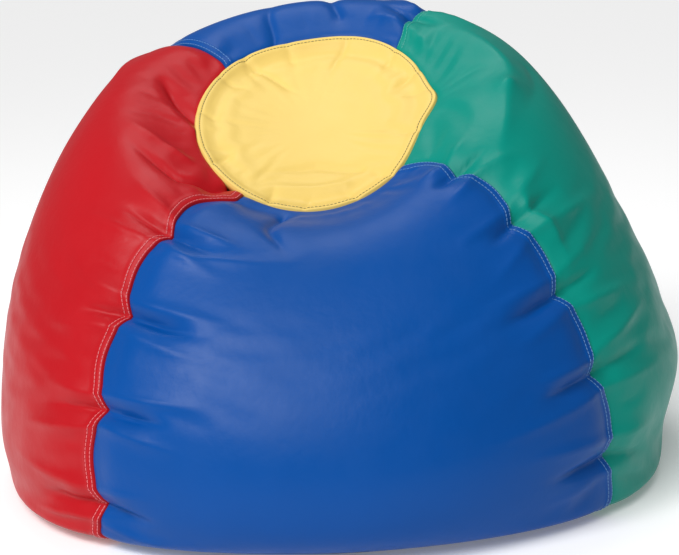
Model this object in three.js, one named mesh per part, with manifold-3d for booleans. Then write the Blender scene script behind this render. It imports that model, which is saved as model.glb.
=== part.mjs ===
// Round bean bag chair for a child: a vinyl cover of four coloured gores with a dished cap that
// tips towards the sitter, closed underneath by a zip, around a liner filled with beads.
// Millimetres, +Z up. The origin is on the floor under the middle of the bag, the sitter faces -Y
// and +X is on the right of someone who stands in front of the chair.

import * as THREE from "three";
import { mergeVertices } from "three/addons/utils/BufferGeometryUtils.js";
import Module from "manifold-3d";

const wasm = await Module();
wasm.setup();

// Overall sizes
const width = 890; // across the bulge, side to side
const depth = 872; // across the bulge, front to back
const height = 606; // floor to the crest behind the cap
const baseDiameter = 736; // base, seam to seam

// Cap
const capDiameter = 314; // seam to seam
const capCentre = { x: -11, y: 19 };
const capDrop = 151; // from the crest's height down to the cap's plane, above the middle of the base
const capTilt = THREE.MathUtils.degToRad(29.5); // front edge low, back edge high
const capLean = THREE.MathUtils.degToRad(4.5); // right edge higher than the left one
const capSaddle = 11; // how far the side edges rise and the front and back edges drop
const capDish = 12; // how far the middle sinks below the edge

// The filled bag seen in four directions. First the swell just above the base seam:
// [share of the way from the base's edge out to the bulge, share of the height]
const foot = { right: [0.9, 0.05], back: [0.7, 0.06], left: [0.9, 0.05], front: [0.9, 0.06] };
// Then one round curve, from the bulge up to the crest beside the cap. The crest's place is a share of
// the half width or half depth. Fullness 2 is a quarter of an ellipse, and less is flatter.
const bulgeHeight = 0.2; // share of the height
const outlineSteps = 3; // stretches between the bulge and the crest
const outlines = {
  right: roundOutline({ crestReach: 0.55, crestHeight: 0.85, fullness: 1.6 }),
  back: roundOutline({ crestReach: 0.6, crestHeight: 1, fullness: 1.7 }),
  left: roundOutline({ crestReach: 0.6, crestHeight: 0.8, fullness: 1.7 }),
  front: roundOutline({ crestReach: 0.5, crestHeight: 0.6, fullness: 1.4 }),
};

// Where the four side seams run, in degrees around the bag, at the base and at the cap
const seams = {
  front_right: { base: -40, cap: -40 },
  back_right: { base: 45, cap: 55 },
  back_left: { base: 135, cap: 135 },
  front_left: { base: 230, cap: 225 },
};

// Sheet goods and seams
const vinyl = 1.0; // cover thickness
const seamGap = 0.8; // between neighbouring cover panels
const linerFilm = 0.6; // liner thickness
const linerSlack = 5; // between the cover and the liner
const fillSlack = 6.4; // between the liner and the bead fill
const floorSlack = 2; // the same two gaps where the bag rests on the floor
const clearance = 0.35; // between pieces that touch or slide

// Stitching
const thread = 0.9; // diameter
const topstitchOffsets = [11, 3]; // the two rows beside a side seam, from the seam, far row first
const capStitchOffset = 7; // the single row around the cap, from the seam
const topstitchEnd = 6; // length left free at each end of a side row

// Zip along the middle of the base
const zipMargin = 58; // from the base seam to each end of the zip
const zipLead = 20; // level strip between the base seam and the foot of the arch
const zipRise = 8; // how high the base arches over the floor along the zip
const zipShoulder = 53; // width of the arch's slope on each side
const tapeWidth = 13;
const tape = 0.7; // thickness
const coilWidth = 2;
const coilHeight = 2;
const coilSpacing = 1.3; // between the two coils, where the slider's post passes
const stopLength = 4;
const sliderLength = 12;
const sliderPlate = 1.2; // thickness
const sliderFlange = 0.6; // thickness
const zipStitchOffset = 4; // from the folded edge

// How finely the curved pieces are cut
const rowsPerSpan = 3; // rows of facets between two points of an outline
const panelColumns = 13;
const linerColumns = 11;
const capColumns = 60;
const fillColumns = 44;
const capRings = [0.2, 0.45, 0.7, 0.87];

// Sizes that follow from the ones above
const capHeight = height - capDrop;
const linerInset = vinyl + linerSlack; // from the outside of the cover
const linerFloor = vinyl + floorSlack;
const fillInset = linerInset + linerFilm + fillSlack;
const fillFloor = linerFloor + linerFilm + floorSlack;
const capRadius = capDiameter / 2;
const baseRadius = baseDiameter / 2;
const baseGap = edgeGap(baseRadius, vinyl, panelColumns); // between the base and the side panels
const linerBaseGap = edgeGap(baseRadius, linerFilm, linerColumns);
const halfZip = baseRadius - zipMargin;
const coilEdge = coilSpacing / 2 + coilWidth; // from the zip's middle line
const flangeEdge = coilEdge + clearance + sliderFlange;
const slotEdge = flangeEdge + clearance; // the folded edge of each base half
const tapeEdge = coilSpacing / 2 + tapeWidth;
const zipFlat = tapeEdge + zipStitchOffset; // half width of the level strip along the zip
const zipFoot = zipFlat + zipShoulder; // half width of the whole arch
const archEnd = baseRadius - zipLead; // where the arch has come down beyond the zip's ends
const tapeBottom = zipRise + vinyl + clearance;
const coilTop = tapeBottom - clearance;
const coilBottom = coilTop - coilHeight;
const sliderBottom = coilBottom - clearance - sliderPlate;
const sliderTop = tapeBottom + tape + clearance + sliderPlate;
const ridge = sliderTop + clearance; // height of the liner's base over the zip

const up = new THREE.Vector3(0, 0, 1);
const chair = new THREE.Group();

function addPiece(name, geometry, material) {
  const mesh = new THREE.Mesh(geometry, material);
  mesh.name = name;
  chair.add(mesh);
  return mesh;
}

function finish(color, roughness, metalness = 0) {
  return new THREE.MeshStandardMaterial({ color, roughness, metalness });
}

const finishes = {
  blue: finish("#00529c", 0.38),
  red: finish("#cc232d", 0.38),
  green: finish("#018578", 0.38),
  yellow: finish("#fee583", 0.4),
  liner: finish("#e9e7e0", 0.8),
  beads: finish("#f5f5f2", 0.9),
  blueThread: finish("#1f63ad", 0.7),
  redThread: finish("#d8545c", 0.7),
  greenThread: finish("#1f9387", 0.7),
  oliveThread: finish("#8a7a3a", 0.7),
  tape: finish("#1b2f57", 0.85),
  coil: finish("#22304a", 0.45),
  slider: finish("#8d9096", 0.35, 1),
};

// The shape of the filled bag ---------------------------------------------------------------

// [share of the reach, share of the height] at each step of a superellipse's quarter
function roundOutline({ crestReach, crestHeight, fullness }) {
  return Array.from({ length: outlineSteps + 1 }, (_, step) => {
    const turn = (step / outlineSteps) * (Math.PI / 2);
    const inward = Math.max(Math.cos(turn), 0) ** (2 / fullness);
    const upward = Math.sin(turn) ** (2 / fullness);
    return [crestReach + (1 - crestReach) * inward, bulgeHeight + (crestHeight - bulgeHeight) * upward];
  });
}

// One value per direction, carried smoothly around the bag
function around([right, back, left, front], azimuth) {
  return (
    (right + back + left + front) / 4 +
    ((right - left) / 2) * Math.cos(azimuth) +
    ((back - front) / 2) * Math.sin(azimuth) +
    ((right + left - back - front) / 4) * Math.cos(2 * azimuth)
  );
}

function polar(radius, azimuth, z) {
  return new THREE.Vector3(radius * Math.cos(azimuth), radius * Math.sin(azimuth), z);
}

// The room that a disc needs inside a quarter ring of panels: their film may stand upright or lean
// in a little at the edge, and their facets cut the corner
function edgeGap(radius, film, columns) {
  return film + 2 * clearance + radius * (1 - Math.cos(Math.PI / 4 / columns));
}

// The cover's edge at the cap, lowered by a drop
function capEdge(azimuth, drop) {
  const radius = capRadius + capCentre.x * Math.cos(azimuth) + capCentre.y * Math.sin(azimuth);
  const edge = polar(radius, azimuth, capHeight - drop + capSaddle * Math.cos(2 * azimuth));
  edge.z += edge.y * Math.tan(capTilt) + edge.x * Math.tan(capLean);
  return edge;
}

// The outside of the cover in one direction, from the base up to the cap
function coverOutline(azimuth) {
  const reach = [width, depth, width, depth].map((size) => size / 2);
  const swell = Object.values(foot).map(([share], i) => THREE.MathUtils.lerp(baseRadius, reach[i], share));
  const levels = [{ radii: swell, shares: Object.values(foot).map(([, share]) => share) }];
  outlines.right.forEach((_, level) => {
    const corners = Object.values(outlines).map((outline) => outline[level]);
    levels.push({
      radii: corners.map(([share], i) => share * reach[i]),
      shares: corners.map(([, share]) => share),
    });
  });
  const points = levels.map(({ radii, shares }) =>
    polar(around(radii, azimuth), azimuth, height * around(shares, azimuth)));
  const ends = [polar(baseRadius, azimuth, 0), capEdge(azimuth, 0)];
  return new THREE.CatmullRomCurve3([ends[0], ...points, ends[1]], false, "centripetal");
}

// A bag that lies a constant inset inside the cover, standing on its own floor height.
// side(azimuth, t) runs from the base edge, t = 0, to the cap's edge, t = 1, and
// cap(azimuth, s) runs from the cap's middle, s = 0, to its edge, s = 1.
function makeBag({ inset, floor }) {
  function side(azimuth, t) {
    const cover = coverOutline(azimuth);
    const around = new THREE.Vector3(-Math.sin(azimuth), Math.cos(azimuth), 0);
    const last = cover.points.length - 1;
    const points = cover.points.map((point, i) => {
      const outward = around.clone().cross(cover.getTangent(i / last));
      return point.clone().addScaledVector(outward, -inset);
    });
    points[0] = polar(baseRadius - inset, azimuth, floor);
    points[last] = capEdge(azimuth, inset);
    return new THREE.CatmullRomCurve3(points, false, "centripetal").getPoint(t);
  }

  function cap(azimuth, s) {
    const middle = new THREE.Vector3(capCentre.x, capCentre.y, capHeight - inset);
    middle.z += middle.y * Math.tan(capTilt) + middle.x * Math.tan(capLean);
    const point = middle.lerp(capEdge(azimuth, inset), s);
    point.z -= capDish * (1 - s * s);
    return point;
  }

  return { side, cap };
}

const rows = rowsPerSpan * (outlines.right.length + 2); // the foot and the cap's edge add two

function sideNormal(bag, azimuth, t) {
  const step = 0.002;
  const low = Math.max(t - step, 0);
  const high = Math.min(t + step, 1);
  const along = bag.side(azimuth, high).sub(bag.side(azimuth, low));
  const across = bag.side(azimuth + step, t).sub(bag.side(azimuth - step, t));
  return across.cross(along).normalize();
}

function capNormal(bag, azimuth, s) {
  const step = 0.02;
  const outward = bag.cap(azimuth, s + step).sub(bag.cap(azimuth, s - step));
  const across = bag.cap(azimuth + step, s).sub(bag.cap(azimuth - step, s));
  return outward.cross(across).normalize();
}

function seamAzimuth(seam, t, turns = 0) {
  return THREE.MathUtils.degToRad(THREE.MathUtils.lerp(seam.base, seam.cap, t) + 360 * turns);
}

// Closed bodies -----------------------------------------------------------------------------

function meshBody(points, faces) {
  const geometry = new THREE.BufferGeometry().setFromPoints(points);
  geometry.setIndex(faces);
  geometry.computeVertexNormals();
  return geometry;
}

// A sheet with a thickness: outer and inner are grids of points, outer[row][column], with the
// outer face on the left of a walk from column to column and then from row to row.
function sheetBody(outer, inner) {
  const rowCount = outer.length;
  const columnCount = outer[0].length;
  const points = [...outer.flat(), ...inner.flat()];
  const faces = [];
  const front = (row, column) => row * columnCount + column;
  const back = (row, column) => front(row, column) + rowCount * columnCount;
  const quad = (a, b, c, d) => faces.push(a, b, c, a, c, d);

  for (let row = 0; row < rowCount - 1; row += 1) {
    for (let column = 0; column < columnCount - 1; column += 1) {
      const [a, b] = [[row, column], [row, column + 1]];
      const [c, d] = [[row + 1, column + 1], [row + 1, column]];
      quad(...[a, b, c, d].map((corner) => front(...corner)));
      quad(...[a, d, c, b].map((corner) => back(...corner)));
    }
    const last = columnCount - 1;
    quad(front(row, 0), front(row + 1, 0), back(row + 1, 0), back(row, 0));
    quad(front(row + 1, last), front(row, last), back(row, last), back(row + 1, last));
  }
  for (let column = 0; column < columnCount - 1; column += 1) {
    const last = rowCount - 1;
    quad(front(0, column + 1), front(0, column), back(0, column), back(0, column + 1));
    quad(front(last, column), front(last, column + 1), back(last, column + 1), back(last, column));
  }
  return meshBody(points, faces);
}

// A body through a row of equal loops, each counter-clockwise seen from the one after it. It is
// closed by a fan at both ends, or joined end to end.
function loftBody(loops, { joined = false } = {}) {
  const size = loops[0].length;
  const points = loops.flat();
  const faces = [];
  const spans = joined ? loops.length : loops.length - 1;
  for (let k = 0; k < spans; k += 1) {
    const here = k * size;
    const there = ((k + 1) % loops.length) * size;
    for (let i = 0; i < size; i += 1) {
      const j = (i + 1) % size;
      faces.push(here + i, here + j, there + j, here + i, there + j, there + i);
    }
  }
  if (!joined) {
    for (const [k, flip] of [[0, true], [loops.length - 1, false]]) {
      const middle = loops[k].reduce((sum, point) => sum.add(point), new THREE.Vector3());
      points.push(middle.divideScalar(size));
      for (let i = 0; i < size; i += 1) {
        const edge = [k * size + i, k * size + ((i + 1) % size)];
        faces.push(...(flip ? edge.reverse() : edge), points.length - 1);
      }
    }
  }
  return meshBody(points, faces);
}

// A thread that lies on a surface: its middle line, and the surface's normal at each point
function threadBody(line, normals, { joined = false } = {}) {
  const corners = 5;
  const radius = thread / 2;
  const loops = line.map((point, i) => {
    const before = line[joined ? (i + line.length - 1) % line.length : Math.max(i - 1, 0)];
    const after = line[joined ? (i + 1) % line.length : Math.min(i + 1, line.length - 1)];
    const along = new THREE.Vector3().subVectors(after, before).normalize();
    const across = new THREE.Vector3().crossVectors(along, normals[i]).normalize();
    const out = new THREE.Vector3().crossVectors(across, along);
    return Array.from({ length: corners }, (_, k) => {
      const angle = (2 * Math.PI * k) / corners;
      const corner = point.clone().addScaledVector(across, radius * Math.sin(angle));
      return corner.addScaledVector(out, radius * Math.cos(angle));
    });
  });
  return loftBody(loops, { joined });
}

function box([x0, x1], [y0, y1], [z0, z1]) {
  const geometry = new THREE.BoxGeometry(x1 - x0, y1 - y0, z1 - z0);
  return geometry.translate((x0 + x1) / 2, (y0 + y1) / 2, (z0 + z1) / 2);
}

function toSolid(geometry) {
  const bare = new THREE.BufferGeometry();
  bare.setAttribute("position", geometry.attributes.position);
  bare.setIndex(geometry.index);
  const merged = mergeVertices(bare);
  return new wasm.Manifold(
    new wasm.Mesh({
      numProp: 3,
      vertProperties: Float32Array.from(merged.attributes.position.array),
      triVerts: Uint32Array.from(merged.index.array),
    }),
  );
}

function fromSolid(solid) {
  const mesh = solid.getMesh();
  const geometry = new THREE.BufferGeometry();
  geometry.setAttribute("position", new THREE.BufferAttribute(mesh.vertProperties, 3));
  geometry.setIndex(new THREE.BufferAttribute(mesh.triVerts, 1));
  geometry.computeVertexNormals();
  return geometry;
}

// The nested bags --------------------------------------------------------------------------

const cover = makeBag({ inset: 0, floor: 0 });
const liner = makeBag({ inset: linerInset, floor: linerFloor });
const fill = makeBag({ inset: fillInset, floor: fillFloor });

const panels = {
  front: { from: "front_left", to: "front_right", turns: -1, colour: "blue" },
  right: { from: "front_right", to: "back_right", turns: 0, colour: "green" },
  back: { from: "back_right", to: "back_left", turns: 0, colour: "blue" },
  left: { from: "back_left", to: "front_left", turns: 0, colour: "red" },
};

// The grid lines of a side panel at one height, from its first seam to its second. With offsets,
// the last ones run under the topstitching.
function panelAzimuths(bag, { from, to, turns }, t, columns, offsets) {
  const start = seamAzimuth(seams[from], t, turns);
  const end = seamAzimuth(seams[to], t);
  const radius = (azimuth) => Math.hypot(bag.side(azimuth, t).x, bag.side(azimuth, t).y);
  const startEdge = start + seamGap / 2 / radius(start);
  const endLines = [...offsets, seamGap / 2].map((offset) => end - offset / radius(end));
  const lines = Array.from({ length: columns }, (_, column) =>
    THREE.MathUtils.lerp(startEdge, endLines[0], column / columns));
  return [...lines, ...endLines];
}

function sidePanel(bag, panel, film, columns, offsets) {
  const grid = (depthInside) =>
    Array.from({ length: rows + 1 }, (_, row) => {
      const t = row / rows;
      return panelAzimuths(bag, panel, t, columns, offsets).map((azimuth) =>
        bag.side(azimuth, t).addScaledVector(sideNormal(bag, azimuth, t), -depthInside));
    });
  return sheetBody(grid(0), grid(film));
}

// A topstitch row, on the panel's grid line that was laid out for it. Its ends stop short of the
// base and the cap, along the same facets.
function sideTopstitch(panel, index) {
  const line = [];
  const normals = [];
  for (let row = 0; row <= rows; row += 1) {
    const t = row / rows;
    const lines = panelAzimuths(cover, panel, t, panelColumns, topstitchOffsets);
    const azimuth = lines[panelColumns + index];
    normals.push(sideNormal(cover, azimuth, t));
    line.push(cover.side(azimuth, t).addScaledVector(normals[row], thread / 2 + clearance));
  }
  for (const [end, next] of [[line[0], line[1]], [line[rows], line[rows - 1]]]) {
    end.lerp(next.clone(), topstitchEnd / end.distanceTo(next));
  }
  return threadBody(line, normals);
}

function ring(columns, place) {
  return Array.from({ length: columns }, (_, i) => place((2 * Math.PI * i) / columns));
}

const capStitchShare = 1 - capStitchOffset / capRadius;

function capPanel(bag, film) {
  const shares = [...capRings, capStitchShare, 1 - seamGap / capRadius];
  const face = (depthInside) =>
    shares.map((share) =>
      ring(capColumns, (azimuth) =>
        bag.cap(azimuth, share).addScaledVector(capNormal(bag, azimuth, share), -depthInside)));
  return loftBody([...face(film), ...face(0).reverse()]);
}

function capTopstitch() {
  const normals = ring(capColumns, (azimuth) => capNormal(cover, azimuth, capStitchShare));
  const line = ring(capColumns, (azimuth) => cover.cap(azimuth, capStitchShare));
  line.forEach((point, i) => point.addScaledVector(normals[i], thread / 2 + clearance));
  return threadBody(line, normals, { joined: true });
}

// The base and its zip ----------------------------------------------------------------------

// A level sheet that arches over the zip: it stands at the rise along the zip and comes down to
// its floor on both sides and beyond both ends
function archedSheet(floor, rise, film, radius) {
  const acrossLines = [-radius, -zipFoot, -zipFlat, zipFlat, zipFoot, radius];
  const alongLines = [-radius, -archEnd, -halfZip, halfZip, archEnd, radius];
  const level = (line, flat, foot) => 1 - THREE.MathUtils.smoothstep(Math.abs(line), flat, foot);
  const grid = (lift) =>
    acrossLines.map((y) =>
      alongLines.map((x) => {
        const share = level(y, zipFlat, zipFoot) * level(x, halfZip, archEnd);
        return new THREE.Vector3(x, y, floor + rise * share + lift);
      }));
  const sheet = toSolid(sheetBody(grid(film), grid(0)));
  const reach = 2 * (rise + film);
  const disc = [floor - reach, floor + reach].map((z) =>
    ring(capColumns, (azimuth) => polar(radius, azimuth, z)));
  return sheet.intersect(toSolid(loftBody(disc)));
}

// One half of the base. facing is -1 for the front half and 1 for the rear half.
function baseHalf(facing) {
  const radius = baseRadius - baseGap;
  const slot = toSolid(box([-halfZip, halfZip], [-slotEdge, slotEdge], [-height, height]));
  const seam = toSolid(box([-baseRadius, baseRadius], [-seamGap / 2, seamGap / 2], [-height, height]));
  const half = toSolid(box([-width, width], facing < 0 ? [-depth, 0] : [0, depth], [-height, height]));
  const sheet = archedSheet(0, zipRise, vinyl, radius);
  return fromSolid(sheet.subtract(slot).subtract(seam).intersect(half));
}

// A bar along the zip, given by how far its two edges lie from the zip's middle line
function zipBar(facing, [from, to], [near, far], heights) {
  const sides = facing < 0 ? [-far, -near] : [near, far];
  return box([from, to], sides, heights);
}

function zipStitch(facing) {
  const y = facing * (slotEdge + zipStitchOffset);
  const z = zipRise - clearance - thread / 2;
  const line = [-halfZip, halfZip].map((x) => new THREE.Vector3(x, y, z));
  return threadBody(line, line.map(() => up.clone().negate()));
}

// Two plates joined by a post that runs between the coils, with a flange along each lower side
function zipSlider() {
  const end = halfZip - stopLength - clearance;
  const span = [end - sliderLength, end];
  const post = coilSpacing / 2 - clearance;
  const plate = [-flangeEdge, flangeEdge];
  const bite = sliderPlate / 2; // how far the post and the flanges reach into the plates
  const flange = [coilEdge + clearance, flangeEdge];
  const pieces = [
    box(span, plate, [sliderBottom, sliderBottom + sliderPlate]),
    box(span, plate, [sliderTop - sliderPlate, sliderTop]),
    box([end - sliderLength / 4, end], [-post, post], [sliderBottom + bite, sliderTop - bite]),
    zipBar(-1, span, flange, [sliderBottom + bite, coilTop - clearance]),
    zipBar(1, span, flange, [sliderBottom + bite, coilTop - clearance]),
  ];
  return fromSolid(pieces.map(toSolid).reduce((joined, piece) => joined.add(piece)));
}

// The beads fill the liner and part over the zip, as the liner does
function beadFill() {
  const sides = Array.from({ length: rows }, (_, row) =>
    ring(fillColumns, (azimuth) => fill.side(azimuth, row / rows)));
  const caps = [1, ...capRings].sort().reverse().map((share) =>
    ring(fillColumns, (azimuth) => fill.cap(azimuth, share)));
  const top = ridge + linerFilm + floorSlack;
  const section = new THREE.Shape([
    new THREE.Vector2(-zipFoot - top, 0),
    new THREE.Vector2(zipFoot + top, 0),
    new THREE.Vector2(zipFlat + top, top),
    new THREE.Vector2(-zipFlat - top, top),
  ]);
  const tunnelLength = 2 * archEnd;
  const tunnel = new THREE.ExtrudeGeometry(section, { depth: tunnelLength, bevelEnabled: false });
  tunnel.rotateX(Math.PI / 2).rotateZ(Math.PI / 2).translate(-tunnelLength / 2, 0, 0);
  return fromSolid(toSolid(loftBody([...sides, ...caps])).subtract(toSolid(tunnel)));
}

// The assembly ------------------------------------------------------------------------------

for (const [name, panel] of Object.entries(panels)) {
  const { colour } = panel;
  const outside = sidePanel(cover, panel, vinyl, panelColumns, topstitchOffsets);
  addPiece(`${name}_panel`, outside, finishes[colour]);
  addPiece(`liner_${name}_panel`, sidePanel(liner, panel, linerFilm, linerColumns, []), finishes.liner);
  topstitchOffsets.forEach((_, index) => {
    const stitch = sideTopstitch(panel, index);
    addPiece(`${panel.to}_topstitch_${index + 1}`, stitch, finishes[`${colour}Thread`]);
  });
}
addPiece("top_cap", capPanel(cover, vinyl), finishes.yellow);
addPiece("cap_topstitch", capTopstitch(), finishes.oliveThread);
addPiece("liner_top", capPanel(liner, linerFilm), finishes.liner);
const linerBaseRadius = baseRadius - linerInset - linerBaseGap;
const linerBase = archedSheet(linerFloor, ridge - linerFloor, linerFilm, linerBaseRadius);
addPiece("liner_base", fromSolid(linerBase), finishes.liner);
addPiece("bead_fill", beadFill(), finishes.beads);

const zipSpan = [-halfZip, halfZip];
const chain = [-halfZip + stopLength + clearance, halfZip - stopLength - clearance];
const topStop = [halfZip - stopLength, halfZip];
const bottomStop = [-halfZip, -halfZip + stopLength];
const coilEdges = [coilSpacing / 2, coilEdge];
const tapeEdges = [coilSpacing / 2, tapeEdge];
const coilLevels = [coilBottom, coilTop];
const tapeLevels = [tapeBottom, tapeBottom + tape];
for (const [side, facing] of [["front", -1], ["rear", 1]]) {
  addPiece(`base_panel_${side}`, baseHalf(facing), finishes.blue);
  addPiece(`base_zip_stitch_${side}`, zipStitch(facing), finishes.blueThread);
  addPiece(`zip_tape_${side}`, zipBar(facing, zipSpan, tapeEdges, tapeLevels), finishes.tape);
  addPiece(`zip_coil_${side}`, zipBar(facing, chain, coilEdges, coilLevels), finishes.coil);
  addPiece(`zip_top_stop_${side}`, zipBar(facing, topStop, coilEdges, coilLevels), finishes.slider);
}
addPiece("zip_bottom_stop", box(bottomStop, [-coilEdge, coilEdge], coilLevels), finishes.slider);
addPiece("zip_slider", zipSlider(), finishes.slider);

export default chair;
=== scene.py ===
"""A child's bean bag chair: a vinyl cover of four gores and a dished cap around a liner of beads.

Laid out as an add-on: the sizes and colours are properties, each group of pieces has its own
operator, and the panel in the sidebar lists them in the order in which they are made."""

import math
from functools import lru_cache

import bmesh
import bpy
import numpy as np
from bpy.props import FloatProperty, FloatVectorProperty, PointerProperty
from mathutils import Matrix, Vector
from mathutils.bvhtree import BVHTree


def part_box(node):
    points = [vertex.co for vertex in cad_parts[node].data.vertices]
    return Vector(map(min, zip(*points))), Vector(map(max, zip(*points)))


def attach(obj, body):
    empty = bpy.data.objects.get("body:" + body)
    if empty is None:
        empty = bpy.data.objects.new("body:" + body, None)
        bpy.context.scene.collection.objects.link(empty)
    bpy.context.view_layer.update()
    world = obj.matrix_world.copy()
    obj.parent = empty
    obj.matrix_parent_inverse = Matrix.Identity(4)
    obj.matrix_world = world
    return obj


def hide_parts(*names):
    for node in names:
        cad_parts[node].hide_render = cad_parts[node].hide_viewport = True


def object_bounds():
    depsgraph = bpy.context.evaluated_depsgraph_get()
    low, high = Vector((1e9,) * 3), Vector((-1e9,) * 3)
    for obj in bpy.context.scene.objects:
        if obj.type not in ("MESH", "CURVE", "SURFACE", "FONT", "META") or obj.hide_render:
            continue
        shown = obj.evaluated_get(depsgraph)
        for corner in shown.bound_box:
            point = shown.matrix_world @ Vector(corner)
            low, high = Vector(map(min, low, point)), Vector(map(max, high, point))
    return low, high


bl_info = {
    "name": "Bean Bag Chair",
    "version": (1, 0, 0),
    "blender": (4, 5, 0),
    "location": "View3D > Sidebar > Bean Bag",
    "description": "Makes the cover, stitching, zip, liner and filling of a bean bag chair",
    "category": "Add Mesh",
}

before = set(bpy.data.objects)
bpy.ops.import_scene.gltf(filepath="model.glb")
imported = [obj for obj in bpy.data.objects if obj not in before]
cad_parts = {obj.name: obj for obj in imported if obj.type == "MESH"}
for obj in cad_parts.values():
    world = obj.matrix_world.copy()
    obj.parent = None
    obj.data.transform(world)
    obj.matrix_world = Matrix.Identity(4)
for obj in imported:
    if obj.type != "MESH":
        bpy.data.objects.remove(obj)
CAD_LOW, CAD_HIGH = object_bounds()

MM = 0.001
TAU = 2 * math.pi
UP = np.array([0.0, 0.0, 1.0])

# The side gores in order around the bag, with the seam at the end of each one
GORES = ["front", "right", "back", "left"]
SEAMS = ["front_right", "back_right", "back_left", "front_left"]
GORE_COLOURS = {"front": "blue", "right": "green", "back": "blue", "left": "red"}


# Sizes and colours ---------------------------------------------------------------------------


def length(name, description, default):
    return FloatProperty(name=name, description=description, default=default, unit="LENGTH", precision=4)


def colour(name, description, code):
    return FloatVectorProperty(
        name=name, description=description, default=from_hex(code), subtype="COLOR", size=4, min=0, max=1
    )


def from_hex(code):
    """An sRGB hex colour as linear red, green, blue and alpha."""
    parts = [int(code[i : i + 2], 16) / 255 for i in (0, 2, 4)]
    linear = [p / 12.92 if p <= 0.04045 else ((p + 0.055) / 1.055) ** 2.4 for p in parts]
    return (*linear, 1.0)


class CoverSizes(bpy.types.PropertyGroup):
    """Sizes of the sewn vinyl cover"""

    vinyl: length("Vinyl", "Thickness of the coated fabric", 1.0 * MM)
    groove: length("Seam Groove", "How far a seam lies below the panels", 2.4 * MM)
    allowance: length("Seam Allowance", "Width of the folded strip under the topstitching", 14 * MM)
    lift: length("Allowance Lift", "How far the folded strip raises the panel", 1.1 * MM)
    facet: length("Mesh Step", "Distance between two points in the middle of a panel", 5.5 * MM)


class StitchSizes(bpy.types.PropertyGroup):
    """Sizes of the sewing thread and its stitches"""

    pitch: length("Stitch Pitch", "Length from one needle hole to the next", 5.0 * MM)
    thread: length("Thread", "Diameter of the topstitching thread", 1.05 * MM)
    near_row: length("First Row", "From the seam to the first row", 3.2 * MM)
    far_row: length("Second Row", "From the seam to the second row", 11 * MM)
    cap_row: length("Cap Row", "From the cap's edge to its row", 7 * MM)


class Colours(bpy.types.PropertyGroup):
    """Colours of the materials"""

    blue: colour("Blue Vinyl", "Front and back gore, and the base", "004A98")
    red: colour("Red Vinyl", "Left gore", "B5141D")
    green: colour("Green Vinyl", "Right gore", "008A7B")
    yellow: colour("Yellow Vinyl", "Cap", "EBCB70")
    liner: colour("Liner", "Nonwoven liner", "E9E7E0")
    beads: colour("Beads", "Foam beads", "F7F7F4")
    blue_thread: colour("Blue Thread", "Topstitching on the blue gores", "5E93CC")
    red_thread: colour("Red Thread", "Topstitching on the red gore", "F0898E")
    green_thread: colour("Green Thread", "Topstitching on the green gore", "55BBAC")
    olive_thread: colour("Olive Thread", "Topstitching on the cap", "7C6E35")
    tape: colour("Zip Tape", "Woven tape of the zip", "1B2F57")


def sizes():
    return bpy.context.scene.beanbag_cover


def stitches():
    return bpy.context.scene.beanbag_stitches


def colours():
    return bpy.context.scene.beanbag_colours


# The shape of the bag, read from the CAD pieces ------------------------------------------------


def cad_tree(names):
    """The named CAD pieces as one tree of faces, with the piece that each face belongs to."""
    vertices, faces, owners = [], [], []
    for index, name in enumerate(names):
        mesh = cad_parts[name].data
        start = len(vertices)
        vertices += [v.co.copy() for v in mesh.vertices]
        faces += [[start + i for i in p.vertices] for p in mesh.polygons]
        owners += [index] * len(mesh.polygons)
    return BVHTree.FromPolygons(vertices, faces), owners


# Where the cap's edge is pulled out of its even oval: (degrees around the bag, millimetres outwards,
# half width in degrees). The first is the pointed tip on its right.
RIM_PULLS = [(5, 9, 9), (70, 14, 28), (120, 9, 25), (235, -8, 35), (340, -8, 20)]

# Where the filling pushes the sides out beyond their even shape:
# (degrees around the bag, place from base to cap, millimetres, half width in degrees, half height)
SWELLS = [
    (2, 0.36, 15, 45, 0.12), (2, 0.26, 17, 42, 0.07), (328, 0.05, 38, 32, 0.055),
    (215, 0.055, 34, 32, 0.05), (148, 0.84, 12, 22, 0.07),
]


def around(azimuth, degrees, wide):
    """1 at a place around the bag, falling to 0 beside it over about wide degrees."""
    turn = (np.degrees(azimuth) - degrees + 180) % 360 - 180
    return np.exp(-((turn / wide) ** 2))


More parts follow.
